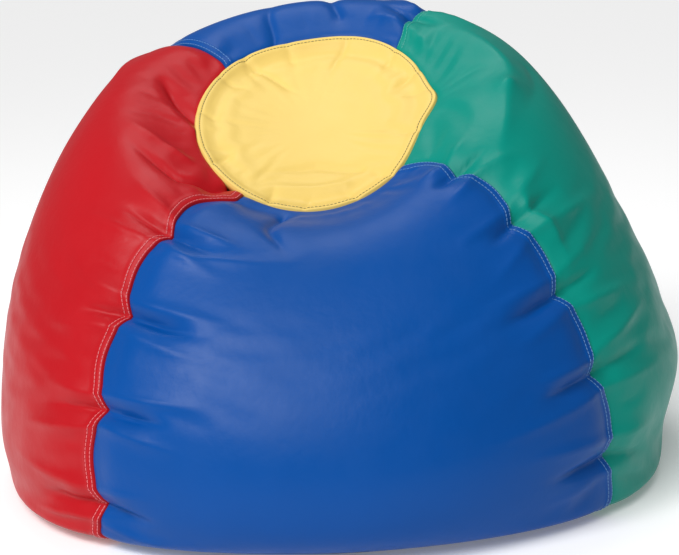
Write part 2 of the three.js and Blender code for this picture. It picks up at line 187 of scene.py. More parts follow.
class Outline:
    """The outside of the gores as one smooth surface, side(azimuth, t), with t from 0 at the base
    seam to 1 at the cap seam, and the cap as a height over each place inside its edge."""

    TURNS = 4  # waves around the bag
    BENDS = 11  # bends up the side
    FAN = 300  # rays in one upright fan
    LENGTH = 0.65  # length of a gore, for the sway of the cap's edge
    AZIMUTHS = 120

    def __init__(self):
        self.tree, self.owners = cad_tree([f"{gore}_panel" for gore in GORES])
        self.centre = Vector((0, 0, (CAD_LOW.z + CAD_HIGH.z) / 3))
        azimuths = (np.arange(self.AZIMUTHS) + 0.5) * TAU / self.AZIMUTHS  # none runs along a seam's gap
        shares = np.linspace(0, 1, 61)
        rows, places = [], []
        for azimuth in azimuths:
            points = self.fan(azimuth)
            steps = np.linalg.norm(np.diff(points, axis=0), axis=1)
            t = np.concatenate([[0], np.cumsum(steps)]) / steps.sum()
            flat = np.stack([np.hypot(points[:, 0], points[:, 1]), points[:, 2]], 1)
            places.append(np.stack([np.interp(shares, t, flat[:, i]) for i in (0, 1)], 1))
            rows.append(self.basis(np.full(len(shares), azimuth), shares))
        self.weights = np.linalg.lstsq(np.concatenate(rows), np.concatenate(places), rcond=None)[0]
        self.seams = [self.seam_line(k) for k in range(len(SEAMS))]
        self.fit_cap()

    def hit(self, azimuth, elevation):
        flat = math.cos(elevation)
        out = Vector((math.cos(azimuth) * flat, math.sin(azimuth) * flat, math.sin(elevation)))
        return self.tree.ray_cast(self.centre + 2 * out, -out, 2)

    def fan(self, azimuth):
        """The points where an upright fan of rays leaves the gores, from the base to the cap."""
        hits = [self.hit(azimuth, e)[0] for e in np.linspace(-0.9, 1.4, self.FAN)]
        return np.array([h for h in hits if h is not None])

    def basis(self, azimuth, t):
        waves = [np.ones_like(azimuth)]
        for k in range(1, self.TURNS + 1):
            waves += [np.cos(k * azimuth), np.sin(k * azimuth)]
        bends = np.polynomial.chebyshev.chebvander(2 * np.asarray(t) - 1, self.BENDS)
        return (np.stack(waves, -1)[..., :, None] * bends[..., None, :]).reshape(*azimuth.shape, -1)

    def side(self, azimuth, t):
        azimuth, t = np.broadcast_arrays(np.asarray(azimuth, float), np.asarray(t, float))
        for degrees, size, wide in RIM_PULLS:
            t = t * (1 - size * MM / self.LENGTH * around(azimuth, degrees, wide))
        radius, height = np.moveaxis(self.basis(azimuth, t) @ self.weights, -1, 0)
        for degrees, level, size, wide, tall in SWELLS:
            upright = np.exp(-(((t - level) / tall) ** 2))
            radius = radius + size * MM * around(azimuth, degrees, wide) * upright
        return np.stack([radius * np.cos(azimuth), radius * np.sin(azimuth), height], -1)

    def side_normal(self, azimuth, t):
        step = 2e-3
        low, high = np.clip(t - step, 0, 1), np.clip(t + step, 0, 1)
        along = self.side(azimuth, high) - self.side(azimuth, low)
        across = self.side(azimuth + step, t) - self.side(azimuth - step, t)
        return unit(np.cross(across, along))

    def seam_line(self, k):
        """The azimuth of the seam between gore k and the next one, as a curve in t."""
        first, second = k, (k + 1) % len(GORES)
        places = []
        for elevation in np.linspace(-0.3, 0.85, 14):
            low, high = self.seam_bracket(first, second, elevation)
            for _ in range(12):
                middle = (low + high) / 2
                if self.owner(middle, elevation) == first:
                    low = middle
                else:
                    high = middle
            hit = self.hit(low, elevation)[0]
            t = np.linspace(0, 1, 400)
            line = self.side(np.full(400, low), t)
            places.append((t[np.argmin(np.linalg.norm(line - np.array(hit), axis=1))], low))
        places = np.array(places)
        return np.polyfit(places[:, 0], places[:, 1], 2)

    def owner(self, azimuth, elevation):
        face = self.hit(azimuth, elevation)[2]
        return None if face is None else self.owners[face]

    def seam_bracket(self, first, second, elevation):
        """The last azimuth on the first gore and the first one on the second, in small steps."""
        azimuth = last = math.radians(-90 + 90 * first)
        while (owner := self.owner(azimuth, elevation)) != second:
            last = azimuth if owner == first else last
            azimuth += math.radians(2)
        return last, azimuth

    def seam(self, k, t):
        return np.polyval(self.seams[k], t)

    def fit_cap(self):
        tree, _ = cad_tree(["top_cap"])
        low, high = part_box("top_cap")
        self.cap_centre = np.array([(low.x + high.x) / 2, (low.y + high.y) / 2])
        self.cap_reach = (high.x - low.x) / 2
        places = []
        for x in np.linspace(low.x, high.x, 40):
            for y in np.linspace(low.y, high.y, 40):
                hit = tree.ray_cast(Vector((x, y, 2)), Vector((0, 0, -1)), 2)[0]
                if hit is not None:
                    places.append(hit)
        places = np.array(places)
        terms = self.cap_terms(places[:, :2])
        self.cap_weights = np.linalg.lstsq(terms, places[:, 2], rcond=None)[0]

    def cap_terms(self, flat):
        x, y = np.moveaxis((flat - self.cap_centre) / self.cap_reach, -1, 0)
        return np.stack([x**i * y**j for i in range(5) for j in range(5 - i)], -1)

    def cap(self, azimuth, share):
        """A point of the cap, from its middle, share 0, to its edge, share 1, at the gores' end."""
        azimuth, share = np.broadcast_arrays(np.asarray(azimuth, float), np.asarray(share, float))
        edge = self.side(azimuth, np.ones_like(azimuth))
        flat = self.cap_centre + (edge[..., :2] - self.cap_centre) * share[..., None]
        height = self.cap_terms(flat) @ self.cap_weights
        miss = edge[..., 2] - self.cap_terms(edge[..., :2]) @ self.cap_weights
        return np.concatenate([flat, (height + miss * share**4)[..., None]], -1)


def unit(v):
    return v / np.maximum(np.linalg.norm(v, axis=-1, keepdims=True), 1e-12)


@lru_cache(maxsize=None)
def outline():
    return Outline()


# Relief of the sewn and filled cover -----------------------------------------------------------


def smooth(low, high, value):
    x = np.clip((value - low) / (high - low), 0, 1)
    return x * x * (3 - 2 * x)


def folded_edge(distance, rows):
    """Height beside a seam on the side that is folded under and topstitched."""
    cover = sizes()
    height = cover.lift * (1 - smooth(cover.allowance - 2 * MM, cover.allowance + 3 * MM, distance))
    height -= (cover.lift + cover.groove) * np.exp(-((distance / (1.3 * MM)) ** 2))
    for row in rows:
        height -= 0.4 * MM * np.exp(-(((distance - row) / (1.1 * MM)) ** 2))
    return height


def tucked_edge(distance):
    """Height beside a seam on the side that runs in under the folded one."""
    return -sizes().groove * np.exp(-distance / (4 * MM))


@lru_cache(maxsize=None)
def side_lengths():
    """Length of the gores from base to cap, at even steps around the bag."""
    azimuths = np.linspace(0, TAU, 181)
    points = outline().side(azimuths[:, None], np.linspace(0, 1, 60)[None, :])
    return azimuths, np.linalg.norm(np.diff(points, axis=1), axis=2).sum(1)


def side_length(azimuth):
    azimuths, lengths = side_lengths()
    return np.interp(np.mod(azimuth, TAU), azimuths, lengths)


def gore_ends(k, t):
    """The azimuths at which gore k starts and ends, as its two seams run."""
    start = seam_azimuth((k - 1) % len(GORES), t)
    return (start - TAU if k == 0 else start), seam_azimuth(k, t)


# The scallops of each seam between one pinch and the next, as the two blue gores swell over their
# neighbours: (scallops from base to cap, shift of the pinches as a share of one, depth in
# millimetres, which is below zero where the swelling gore comes after the seam)
SCALLOPS = {
    "front_right": (6, 0.85, 15), "back_right": (5, 0.4, -12),
    "back_left": (5, 0.1, 12), "front_left": (5, 0.2, -17),
}


def scallop(k, t):
    """How far seam k is drawn sideways at t, in metres. It turns sharply at each pinch."""
    count, shift, depth = SCALLOPS[SEAMS[k]]
    wave = np.sqrt(np.sin(math.pi * (count * t + shift)) ** 2 + 0.01)
    return (wave - 2 / math.pi) * depth * MM


def pinches(k):
    """The places up seam k where its scallops meet."""
    count, shift, _ = SCALLOPS[SEAMS[k]]
    places = (np.arange(1, count + 1) - shift) / count
    return places[(places > 0.08) & (places < 0.93)]


def seam_azimuth(k, t):
    """The azimuth of seam k at t, with its scallops."""
    azimuth = outline().seam(k, t)
    points = outline().side(azimuth, t)
    return azimuth + scallop(k, t) / np.hypot(points[..., 0], points[..., 1])


SETTLE_COLUMNS = 48  # places across each gore at which the filling's push is worked out
SETTLE_ROWS = 76
SETTLE_RINGS = 18
SETTLE_FRAMES = 24


def joined_form():
    """The gores and the cap as one form of even steps, and the azimuths and heights it follows."""
    t = np.linspace(0, 1, SETTLE_ROWS)
    share = np.arange(SETTLE_COLUMNS) / SETTLE_COLUMNS
    azimuths = []
    for k in range(len(GORES)):
        start, end = gore_ends(k, t)
        azimuths.append(start[:, None] + (end - start)[:, None] * share)
    azimuths = np.concatenate(azimuths, 1)
    side = outline().side(azimuths, np.repeat(t[:, None], azimuths.shape[1], 1))
    inward = np.linspace(1, 0.04, SETTLE_RINGS)[1:]
    cap = outline().cap(azimuths[-1][None, :], inward[:, None])
    return np.concatenate([side, cap])


@lru_cache(maxsize=None)
def settled():
    """How far the filling moves each place of the joined form. The fabric is cut a little larger
    than the shape, and its seams are drawn in by the thread, so it puckers as it fills."""
    form = joined_form()
    rows, columns = form.shape[:2]
    mesh = grid_mesh("joined_form", form, wrapped=True, merged=False)
    piece = bpy.data.objects.new("joined_form", mesh)
    bpy.context.scene.collection.objects.link(piece)
    beside = np.abs((np.arange(columns) + SETTLE_COLUMNS / 2) % SETTLE_COLUMNS - SETTLE_COLUMNS / 2)
    drawn = np.tile(np.clip(1 - beside / 2.5, 0, 1), (rows, 1))
    from_cap_seam = np.abs(np.arange(rows) - (SETTLE_ROWS - 1))
    drawn[SETTLE_ROWS:] = 0
    drawn = np.maximum(drawn, np.clip(1 - from_cap_seam / 2.5, 0, 1)[:, None])
    hold = np.repeat(0.42 + 0.58 * smooth(9, 2, np.arange(rows))[:, None], columns, 1)
    hold[-3:] = 0.6
    for name, weights in (("drawn", drawn), ("hold", hold)):
        group = piece.vertex_groups.new(name=name)
        for index, weight in enumerate(weights.ravel()):
            group.add([index], float(weight), "REPLACE")
    cloth = piece.modifiers.new("Cloth", "CLOTH")
    fabric = cloth.settings
    fabric.quality = 7
    fabric.mass = 0.5
    fabric.tension_stiffness = fabric.compression_stiffness = 60
    fabric.shear_stiffness = 30
    fabric.bending_stiffness = 20
    fabric.tension_damping = fabric.compression_damping = 20
    fabric.air_damping = 6
    fabric.use_pressure = True
    fabric.uniform_pressure_force = 3
    fabric.effector_weights.gravity = 0
    fabric.vertex_group_mass = "hold"
    fabric.pin_stiffness = 1
    fabric.vertex_group_shrink = "drawn"
    fabric.shrink_min = -0.006
    fabric.shrink_max = 0.07
    cloth.collision_settings.use_collision = False
    cloth.point_cache.frame_end = SETTLE_FRAMES
    scene = bpy.context.scene
    for number in range(1, SETTLE_FRAMES + 1):
        scene.frame_set(number)
    shown = piece.evaluated_get(bpy.context.evaluated_depsgraph_get())
    moved = np.array([v.co for v in shown.data.vertices]).reshape(form.shape) - form
    bpy.data.objects.remove(piece)
    bpy.data.meshes.remove(mesh)
    scene.frame_set(1)
    return moved


def gore_surface(k, azimuth, t, inset=0.0, turned=0.0):
    """Points and normals of gore k with its seams, folds and puckers."""
    bag = outline()
    points = bag.side(azimuth, t)
    normals = bag.side_normal(azimuth, t)
    radius = np.hypot(points[..., 0], points[..., 1])
    start, end = gore_ends(k, t)
    share = (azimuth - start) / (end - start)
    points = points + settled_at((k + share) * SETTLE_COLUMNS, t * (SETTLE_ROWS - 1))
    folds = met_folds(k, share, t, (azimuth - start) * radius, (end - azimuth) * radius)
    points = points + normals * (folds * smooth(0, 0.04, t))[..., None]
    if inset:
        from_rim = np.minimum(t, 1 - t) * side_length(azimuth)
        nearest = np.minimum(np.minimum((azimuth - start), (end - azimuth)) * radius, from_rim)
        clear = inset + 5 * MM * np.exp(-((nearest / (18 * MM)) ** 2))
        return points - normals * clear[..., None], normals
    stitch = stitches()
    height = folded_edge((end - azimuth) * radius, (stitch.near_row, stitch.far_row))
    height += tucked_edge((azimuth - start) * radius)
    height += tucked_edge((1 - t) * side_length(azimuth)) + tucked_edge(t * side_length(azimuth))
    points = points + normals * (height - turned)[..., None]
    points[..., 2] = np.maximum(points[..., 2], 0)  # the floor flattens what would bulge below it
    return points, normals


# The large folds, placed to the nearest twentieth: (height, half width, points from the deep
# end to where it runs out). Heights below zero are valleys. Sizes are in millimetres, and points
# are (share across the gore, share of the way up).
LARGE_FOLDS = {
    "front": [
        (-8, 10, (0.25, 0.95), (0.3, 0.85), (0.35, 0.75)), (3, 14, (0, 0.7), (0.4, 0.75)),
        (3, 22, (0.35, 0.95), (0.8, 0.95)),
    ],
    "right": [
        (9, 20, (0.4, 0.85), (0.85, 0.9)), (8, 16, (0.4, 0.85), (0.05, 0.8)),
        (8, 15, (0.05, 0.7), (0.05, 0.55)), (-5, 22, (0.55, 0.8), (0.25, 0.8)),
    ],
    "back": [
        (-6, 12, (0.35, 0.95), (0.45, 0.8)), (-5, 10, (0.7, 1), (0.6, 0.85)),
        (3, 22, (0.45, 0.65), (0.75, 0.6)), (-3, 24, (0.35, 0.35), (0.7, 0.35)),
    ],
    "left": [
        (-12, 13, (0.4, 1), (0.2, 0.9)), (-11, 10, (0.9, 1), (0.85, 0.9), (0.6, 0.85)),
        (5, 16, (0.5, 1), (0.3, 0.9)), (5, 15, (0.7, 0.95), (0.5, 0.85)),
        (-4, 26, (0.3, 0.7), (0.5, 0.5)),
    ],
}


@lru_cache(maxsize=None)
def pinch_folds(k):
    """The folds that fan out from each pinch into gore k: a valley between two ridges."""
    random = np.random.default_rng(11 + k)
    folds = []
    for seam, edge, way in (((k - 1) % len(GORES), 0, 1), (k, 1, -1)):
        for place in pinches(seam):
            reach = random.uniform(0.12, 0.2)
            fall = random.uniform(0, 0.03)
            valley = [(edge + way * reach * s, place - fall * s) for s in (0, 0.5, 1)]
            folds.append((-random.uniform(7, 11), 8.5, *valley))
            for side in (-1, 1):
                height, longer = random.uniform(3.5, 6), random.uniform(1.1, 1.7)
                spread = side * random.uniform(0.035, 0.055)
                ridge = [
                    (edge + way * reach * longer * s, place + spread * (0.7 + 0.5 * s) - 1.5 * fall * s)
                    for s in (0, 0.5, 1)
                ]
                folds.append((height, 10, *ridge))
    return folds


# The cap's large folds, listed in millimetres to the right of and behind its middle
CAP_CREASES = [
    (-4, 5, (-90, 130), (-50, 100), (-10, 60)), (-4, 6, (60, -90), (0, -70), (-100, -80)),
    (3.5, 9, (40, -110), (-90, -100)),
]


@lru_cache(maxsize=None)
def cap_folds():
    """The cap's large folds, and short puckers that run in from its edge at uneven steps."""
    random = np.random.default_rng(5)
    folds = list(CAP_CREASES)
    reach = outline().cap_reach / MM
    for turn in np.arange(0, TAU, TAU / 15):
        place = turn + random.uniform(-0.14, 0.14)
        shares = (1, random.uniform(0.82, 0.88), random.uniform(0.62, 0.76))
        turns = place + np.array([0, 0.04, 0.1]) * random.choice([-1, 1])
        line = [(reach * s * math.cos(a), reach * s * math.sin(a)) for s, a in zip(shares, turns)]
        folds.append((-random.uniform(2, 4), random.uniform(4, 7), *line))
    return [(h * MM, w * MM, *(np.array(line) * MM)) for h, w, *line in folds]


def fold_height(folds, x, y):
    """Height of the folds at x, y. Each one is sharp along its line, spreads at its foot and fades
    towards its last point. All lengths are in metres."""
    total = np.zeros(x.shape)
    for height, width, *line in folds:
        line = np.array(line)
        lengths = np.linalg.norm(np.diff(line, axis=0), axis=1)
        done, strongest = 0, 0
        for start, end, size in zip(line[:-1], line[1:], lengths):
            run, rise = end - start
            right, up = x - start[0], y - start[1]
            along = np.clip((right * run + up * rise) / size**2, 0, 1)
            distance = np.hypot(right - along * run, up - along * rise)
            place = (done + along * size) / lengths.sum()
            rounding = 0.22 * width
            profile = np.exp(-(np.hypot(distance, rounding) - rounding) / (0.75 * width))
            strongest = np.maximum(strongest, profile * (1 - smooth(0.4, 1.02, place)))
            done += size
        total += height * strongest
    return total


def gore_folds(k, share, t):
    length = side_lengths()[1].mean()
    total = 0
    for height, width, *line in LARGE_FOLDS[GORES[k]] + pinch_folds(k):
        level = np.mean([point[1] for point in line])
        start, end = gore_ends(k, np.array([level]))
        radius = np.hypot(*outline().side((start + end) / 2, level)[0, :2])
        reach = (end[0] - start[0]) * radius
        fold = (height * MM, width * MM, *[(u * reach, v * length) for u, v in line])
        total = total + fold_height([fold], share * reach, t * length)
    return total


def met_folds(k, share, t, from_start, from_end):
    """The folds of gore k, brought to the height halfway between the two gores at each seam."""
    own = gore_folds(k, share, t)
    before, after = (k - 1) % len(GORES), (k + 1) % len(GORES)
    near, far = np.zeros_like(share), np.ones_like(share)
    start_step = gore_folds(before, far, t) - gore_folds(k, near, t)
    end_step = gore_folds(after, near, t) - gore_folds(k, far, t)
    reach = 14 * MM
    own = own + start_step / 2 * np.exp(-((from_start / reach) ** 2))
    return own + end_step / 2 * np.exp(-((from_end / reach) ** 2))


def spline_weights(x):
    """How much each of four neighbours counts in a cubic B-spline, x of the way past the second."""
    second, third = (3 * x**3 - 6 * x**2 + 4) / 6, (-3 * x**3 + 3 * x**2 + 3 * x + 1) / 6
    return (1 - x) ** 3 / 6, second, third, x**3 / 6


def settled_at(column, row):
    """The filling's push at any place of the joined form, smoothed between its points."""
    field = settled()
    column, row = np.broadcast_arrays(column, row)
    first_column, first_row = np.floor(column).astype(int), np.floor(row).astype(int)
    total = 0
    for i, row_weight in enumerate(spline_weights(row - first_row)):
        rows = np.clip(first_row + i - 1, 0, field.shape[0] - 1)
        for j, column_weight in enumerate(spline_weights(column - first_column)):
            columns = (first_column + j - 1) % field.shape[1]
            total = total + (row_weight * column_weight)[..., None] * field[rows, columns]
    return total


START_STEPS = np.array([0.2, 0.7, 1.6, 3, 5, 8, 12, 17]) * MM
END_STEPS = np.array([0.2, 0.6, 1, 1.7, 2.5, 3.2, 4, 5.2, 7.1, 9, 10.2, 11, 11.8, 13, 14.5, 17]) * MM
RIM_STEPS = np.array([0, 0.7, 1.6, 3, 5, 8, 12]) * MM
TURNED_IN = 8 * MM


def gore_grid(k, inset=0.0, step=None):
    """A grid of points over gore k, close together beside its seams, with its edges turned in."""
    step = step or sizes().facet
    longest = side_lengths()[1].max()
    middle = np.linspace(RIM_STEPS[-1], longest - RIM_STEPS[-1], int(longest / step))[1:-1]
    heights = np.concatenate([RIM_STEPS, middle, longest - RIM_STEPS[::-1]]) / longest
    start, end = gore_ends(k, heights)
    reach = outline().side((start + end) / 2, heights)
    radius = np.hypot(reach[:, 0], reach[:, 1])
    width = (end - start) * radius
    columns = int(width.max() / step)
    fractions = np.linspace(0, 1, columns)[1:-1]
    lines = []
    for across in width:
        middle = START_STEPS[-1] + (across - START_STEPS[-1] - END_STEPS[-1]) * fractions
        lines.append(np.concatenate([START_STEPS, middle, across - END_STEPS[::-1]]))
    azimuths = start[:, None] + np.array(lines) / radius[:, None]
    t = np.repeat(heights[:, None], azimuths.shape[1], 1)
    azimuths, t = (np.pad(grid, 1, mode="edge") for grid in (azimuths, t))
    turned = np.full_like(t, 0 if inset else TURNED_IN)
    turned[1:-1, 1:-1] = 0
    return gore_surface(k, azimuths, t, inset, turned)[0]


def cap_surface(azimuth, share, inset=0.0, turned=0.0):
    """Points and normals of the cap with its folded edge."""
    bag = outline()
    points = bag.cap(azimuth, share)
    step = 0.01
    outward = bag.cap(azimuth, share + step) - bag.cap(azimuth, share - step)
    clear = np.maximum(share, 0.05)
    across = bag.cap(azimuth + step, clear) - bag.cap(azimuth - step, clear)
    normals = unit(np.cross(outward, across))
    normals = np.where(share[..., None] < 0.02, unit(normals.mean(axis=-2, keepdims=True)), normals)
    ends = [gore_ends(k, np.ones(1)) for k in range(len(GORES))]
    starts = np.array([start[0] for start, _ in ends] + [ends[-1][1][0]])
    turned_back = (azimuth - starts[0]) % TAU + starts[0]
    column = np.interp(turned_back, starts, np.arange(len(starts)) * SETTLE_COLUMNS)
    row = SETTLE_ROWS - 1 + (1 - share) * (SETTLE_RINGS - 1) / 0.96
    middle = settled()[-1].mean(0)
    near_middle = smooth(0.75, 0.2, share)[..., None]
    points = points + (1 - near_middle) * settled_at(column, row) + near_middle * middle
    x, y = np.moveaxis(points[..., :2] - bag.cap_centre, -1, 0)
    height = fold_height(cap_folds(), x, y)
    points = points + normals * height[..., None]
    if inset:
        return points - normals * inset, normals
    spoke = bag.cap(azimuth, np.ones_like(azimuth)) - bag.cap(azimuth, 0 * azimuth)
    edge = np.linalg.norm(spoke, axis=-1)
    height = folded_edge((1 - share) * edge, (stitches().cap_row,))
    return points + normals * (height - turned)[..., None], normals


def cap_grid(inset=0.0, step=None):
    step = step or 3.5 * MM
    reach = outline().cap_reach
    columns = int(TAU * reach / step)
    azimuths = np.linspace(0, TAU, columns, endpoint=False)
    edge_steps = np.array([0, 0.5, 1, 1.7, 2.5, 4, 5.6, 6.4, 7, 7.6, 8.6, 10, 12]) * MM / reach
    inner = np.linspace(0, 1 - edge_steps[-1], int(reach / step))[:-1]
    shares = np.concatenate([inner, 1 - edge_steps[::-1], [1.0]])
    turned = np.zeros(len(shares))
    turned[-1] = 0 if inset else TURNED_IN
    azimuth, share = np.meshgrid(azimuths, shares)
    return cap_surface(azimuth, share, inset, np.repeat(turned[:, None], columns, 1))[0]


# Making objects ------------------------------------------------------------------------------


def grid_mesh(name, grid, wrapped=False, merged=True):
    """A mesh of four-sided faces through a grid of points, facing out where the columns run to the
    right seen from outside and the rows run up. wrapped joins the last column to the first, and
    merged makes one point of a row that comes together."""
    rows, columns = grid.shape[:2]
    index = np.arange(rows * columns).reshape(rows, columns)
    if wrapped:
        index = np.concatenate([index, index[:, :1]], 1)
    corners = (index[:-1, :-1], index[:-1, 1:], index[1:, 1:], index[1:, :-1])
    faces = np.stack([c.ravel() for c in corners], 1)
    mesh = bpy.data.meshes.new(name)
    mesh.from_pydata(grid.reshape(-1, 3).tolist(), [], faces.tolist())
    if wrapped and merged:
        form = bmesh.new()
        form.from_mesh(mesh)
        bmesh.ops.remove_doubles(form, verts=form.verts, dist=0.01 * MM)
        form.to_mesh(mesh)
        form.free()
    return mesh


def add_piece(name, mesh, material, body, nodes):
    """An object for the mesh, which rides on a body and stands for its CAD pieces."""
    piece = bpy.data.objects.new(name, mesh)
    bpy.context.scene.collection.objects.link(piece)
    mesh.materials.clear()
    mesh.materials.append(material)
    mesh.shade_smooth()
    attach(piece, body)
    if nodes:
        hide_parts(*nodes)
    return piece


def thicken(piece, thickness):
    """Gives a sheet its thickness, inwards from its outer face."""
    solid = piece.modifiers.new("Thickness", "SOLIDIFY")
    solid.thickness = thickness
    solid.offset = -1
    solid.use_even_offset = False


def stitch_mesh(name, line, normals):
    """Separate stitches along a line that lies on a surface: each comes up out of one needle hole,
    lies on the surface and goes down into the next."""
    stitch = stitches()
    gaps = np.linalg.norm(np.diff(line, axis=0), axis=1)
    along = np.concatenate([[0], np.cumsum(gaps)])
    count = int(along[-1] / stitch.pitch)
    pitch = along[-1] / count
    corners = 6
    thread = stitch.thread / 2
    profile = [(-0.43, 0.45, -0.6), (-0.36, 0.85, 0.15), (-0.2, 1.0, 0.55), (0, 1.0, 0.65)]
    profile += [(-x, size, rise) for x, size, rise in profile[-2::-1]]
    vertices, faces = [], []

    def at(place, table):
        return np.array([np.interp(place, along, table[:, i]) for i in range(3)])

    for n in range(count):
        first = len(vertices)
        for share, size, rise in profile:
            place = (n + 0.5 + share) * pitch
            out = unit(at(place, normals))
            point = at(place, line) + out * rise * thread
            ahead = unit(at(place + 0.3 * MM, line) - at(place - 0.3 * MM, line))
            across = unit(np.cross(ahead, out))
            for corner in range(corners):
                turn = TAU * corner / corners
                vertices.append(point + thread * size * (math.sin(turn) * across + math.cos(turn) * out))
        for ring in range(len(profile) - 1):
            for corner in range(corners):
                a = first + ring * corners + corner
                b = first + ring * corners + (corner + 1) % corners
                faces.append((a, b, b + corners, a + corners))
        last = first + (len(profile) - 1) * corners
        faces.append(tuple(first + c for c in reversed(range(corners))))
        faces.append(tuple(last + c for c in range(corners)))
    mesh = bpy.data.meshes.new(name)
    mesh.from_pydata([tuple(v) for v in vertices], [], faces)
    return mesh


# Materials -----------------------------------------------------------------------------------


def add_node(tree, kind, links=None, **settings):
    """Adds a node. links gives its inputs, each a value or the output that feeds it."""
    node = tree.nodes.new(kind)
    for name, value in settings.items():
        setattr(node, name, value)
    for name, value in (links or {}).items():
        if isinstance(value, bpy.types.NodeSocket):
            tree.links.new(value, node.inputs[name])
        else:
            node.inputs[name].default_value = value
    return node


def new_material(name):
    """An empty material with its tree, the place in the object that its patterns follow, and its end."""
    material = bpy.data.materials.new(name)
    material.use_nodes = True
    tree = material.node_tree
    tree.nodes.clear()
    place = add_node(tree, "ShaderNodeTexCoord").outputs["Object"]
    end = add_node(tree, "ShaderNodeOutputMaterial")
    return material, tree, place, end


@lru_cache(maxsize=None)
def coated_vinyl(name, colour_name):
    """Upholstery vinyl, PVC cast on release paper over a knit backing: a smooth skin with a faint
    leather grain, which gives it a soft, broad shine, a little uneven where it is handled."""
    material, tree, place, end = new_material(name)
    shade = tuple(getattr(colours(), colour_name))
    darker = (*[c * 0.86 for c in shade[:3]], 1)
    cloud = add_node(tree, "ShaderNodeTexNoise", {"Vector": place, "Scale": 7, "Detail": 3})
    base = add_node(
        tree, "ShaderNodeMix", {"Factor": cloud.outputs["Fac"], "A": darker, "B": shade}, data_type="RGBA"
    )
    handled = add_node(tree, "ShaderNodeTexNoise", {"Vector": place, "Scale": 22, "Detail": 4})
    rough = add_node(
        tree, "ShaderNodeMapRange",
        {"Value": handled.outputs["Fac"], "From Min": 0.3, "From Max": 0.7, "To Min": 0.33, "To Max": 0.45},
    )
    # The grain's cells are about 1.4 mm across, and the backing's unevenness about 12 mm
    grain = add_node(tree, "ShaderNodeTexVoronoi", {"Vector": place, "Scale": 700}, feature="SMOOTH_F1")
    lumps = add_node(tree, "ShaderNodeTexNoise", {"Vector": place, "Scale": 85, "Detail": 2})
    wavy = add_node(
        tree, "ShaderNodeBump", {"Height": lumps.outputs["Fac"], "Strength": 0.3, "Distance": 0.0012}
    )
    skin = add_node(
        tree, "ShaderNodeBump",
        {
            "Height": grain.outputs["Distance"], "Strength": 0.12, "Distance": 0.0002,
            "Normal": wavy.outputs["Normal"],
        },
    )
    surface = add_node(
        tree, "ShaderNodeBsdfPrincipled",
        {
            "Base Color": base.outputs[2], "Roughness": rough.outputs["Result"], "IOR": 1.53,
            "Specular IOR Level": 0.15, "Normal": skin.outputs["Normal"],
        },
    )
    tree.links.new(surface.outputs["BSDF"], end.inputs["Surface"])
    return material


@lru_cache(maxsize=None)
def spun_thread(name, colour_name):
    """Bonded polyester thread, three plies twisted together: a satin line with a slanted twist."""
    material, tree, place, end = new_material(name)
    shade = tuple(getattr(colours(), colour_name))
    darker = (*[c * 0.6 for c in shade[:3]], 1)
    # The plies lie 0.5 mm apart
    twist = add_node(tree, "ShaderNodeTexWave", {"Vector": place, "Scale": 600, "Distortion": 2})
    # The thread is painted darker where the twist's bump is low, in the grooves between the plies: painted
    # shade
    base = add_node(
        tree, "ShaderNodeMix", {"Factor": twist.outputs["Fac"], "A": darker, "B": shade}, data_type="RGBA"
    )
    raised = add_node(
        tree, "ShaderNodeBump", {"Height": twist.outputs["Fac"], "Strength": 0.4, "Distance": 0.0001}
    )
    surface = add_node(
        tree, "ShaderNodeBsdfPrincipled",
        {
            "Base Color": base.outputs[2], "Roughness": 0.5, "Sheen Weight": 0.2, "IOR": 1.55,
            "Normal": raised.outputs["Normal"],
        },
    )
    tree.links.new(surface.outputs["BSDF"], end.inputs["Surface"])
    return material


@lru_cache(maxsize=None)
def bonded_nonwoven():
    """Spunbond polypropylene, calendered: a dull white felt pressed into small diamonds."""
    material, tree, place, end = new_material("spunbond_polypropylene")
    shade = tuple(colours().liner)
    # The bonding points are 2 mm apart
    points = add_node(tree, "ShaderNodeTexVoronoi", {"Vector": place, "Scale": 500, "Randomness": 0.3})
    fibres = add_node(tree, "ShaderNodeTexNoise", {"Vector": place, "Scale": 900, "Detail": 5})
    darker = (*[c * 0.8 for c in shade[:3]], 1)
    base = add_node(
        tree, "ShaderNodeMix", {"Factor": fibres.outputs["Fac"], "A": darker, "B": shade}, data_type="RGBA"
    )
    raised = add_node(
        tree, "ShaderNodeBump", {"Height": points.outputs["Distance"], "Strength": 0.5, "Distance": 0.0003}
    )
    surface = add_node(
        tree, "ShaderNodeBsdfPrincipled",
        {"Base Color": base.outputs[2], "Roughness": 0.85, "Normal": raised.outputs["Normal"]},
    )
    tree.links.new(surface.outputs["BSDF"], end.inputs["Surface"])
    return material


@lru_cache(maxsize=None)
def foam_beads():
    """Expanded polystyrene beads, steam blown: matt white balls that lie close together."""
    material, tree, place, end = new_material("expanded_polystyrene_beads")
    shade = tuple(colours().beads)
    # The beads are 4 mm across
    balls = add_node(tree, "ShaderNodeTexVoronoi", {"Vector": place, "Scale": 250})
    # Each bead is painted darker towards its edge, where the bump sinks between the beads: painted shade
    # between them
    painted_bead_gap_shade = (*[c * 0.7 for c in shade[:3]], 1)
    base = add_node(
        tree, "ShaderNodeMix", {"Factor": balls.outputs["Distance"], "A": shade, "B": painted_bead_gap_shade},
        data_type="RGBA",
    )
    round_off = add_node(
        tree, "ShaderNodeBump",
        {"Height": balls.outputs["Distance"], "Strength": 0.8, "Distance": 0.0015}, invert=True,
    )
    surface = add_node(
        tree, "ShaderNodeBsdfPrincipled",
        {"Base Color": base.outputs[2], "Roughness": 0.7, "Normal": round_off.outputs["Normal"]},
    )
    tree.links.new(surface.outputs["BSDF"], end.inputs["Surface"])
    return material


